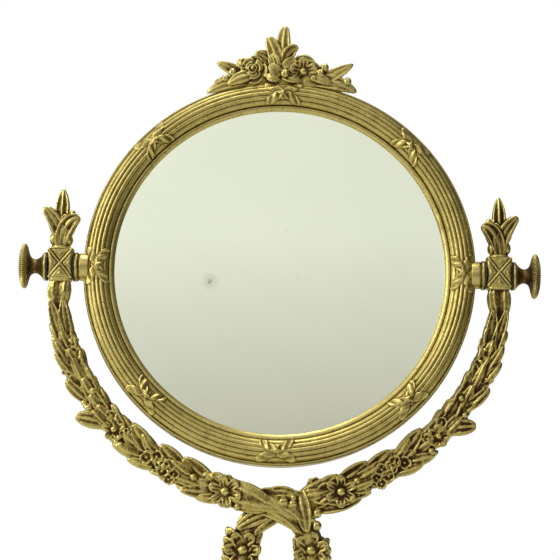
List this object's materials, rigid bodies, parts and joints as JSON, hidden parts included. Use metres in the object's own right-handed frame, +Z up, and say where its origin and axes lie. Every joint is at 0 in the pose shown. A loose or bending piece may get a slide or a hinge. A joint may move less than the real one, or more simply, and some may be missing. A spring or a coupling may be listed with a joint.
{
  "type": "swing dressing-table mirror",
  "caption": "Round swing mirror in a reeded cast-brass frame, hung between thumb knobs in a forked laurel-garland stand on a round stepped foot.",
  "frame": {"origin": "centre of the foot's underside, on the table", "axes": "+X to the right seen from the front, +Y to the back, +Z up; the glass faces -Y"},
  "size_m": [0.2658, 0.1324, 0.3691],
  "materials": {
    "gilt_brass": "antique gilt, burnished high points over brown patina",
    "plain_brass": "turned and aged",
    "steel": "plain",
    "mirror": "old silvered glass, faint green tint",
    "card": "pressed backing board",
    "washer_leather": "dark, worn",
    "felt": "green baize"
  },
  "bodies": {
    "stand": {"base_felt": "felt", "base_plate": "steel", "base_plinth": "gilt_brass", "base_dome": "gilt_brass", "base_stem": "gilt_brass", "socket_cup": "gilt_brass", "tie_rod": "steel", "tie_washer": "steel", "tie_nut": "steel", "left_garland_arm": "gilt_brass", "right_garland_arm": "gilt_brass", "crossing_screw": "plain_brass", "left_pivot_block": "gilt_brass", "right_pivot_block": "gilt_brass", "left_leaf_finial": "gilt_brass", "right_leaf_finial": "gilt_brass"},
    "mirror_head": {"mirror_frame": "gilt_brass", "frame_crest": "gilt_brass", "crest_screws": "steel", "mirror_glass": "mirror", "backing_card": "card", "back_cover": "plain_brass", "back_cover_screws": "plain_brass", "left_pivot_boss": "gilt_brass", "right_pivot_boss": "gilt_brass", "left_pivot_stud": "plain_brass", "right_pivot_stud": "plain_brass", "left_inner_washer": "washer_leather", "right_inner_washer": "washer_leather"},
    "left_clamp": {"left_outer_washer": "washer_leather"},
    "left_knob": {"left_thumb_knob": "gilt_brass"},
    "right_clamp": {"right_outer_washer": "washer_leather"},
    "right_knob": {"right_thumb_knob": "gilt_brass"}
  },
  "joints": [
    {"name": "mirror_tilt", "type": "hinge", "parent": "stand", "child": "mirror_head", "pos_m": [0, 0, 0.24], "axis": [1, 0, 0], "range_deg": [-157, 173]},
    {"name": "left_clamp_slide", "type": "slide", "parent": "mirror_head", "child": "left_clamp", "axis": [-1, 0, 0], "range_m": [0, 0.0012]},
    {"name": "left_knob_turn", "type": "hinge", "parent": "left_clamp", "child": "left_knob", "pos_m": [-0.12, 0, 0.24], "axis": [-1, 0, 0], "range_deg": [0, 360]},
    {"name": "right_clamp_slide", "type": "slide", "parent": "mirror_head", "child": "right_clamp", "axis": [1, 0, 0], "range_m": [0, 0.0012]},
    {"name": "right_knob_turn", "type": "hinge", "parent": "right_clamp", "child": "right_knob", "pos_m": [0.12, 0, 0.24], "axis": [1, 0, 0], "range_deg": [0, 360]}
  ],
  "couplings": [
    {"joint": "left_clamp_slide", "follows": "left_knob_turn", "m_per_rad": 0.00015915},
    {"joint": "right_clamp_slide", "follows": "right_knob_turn", "m_per_rad": 0.00015915}
  ]
}
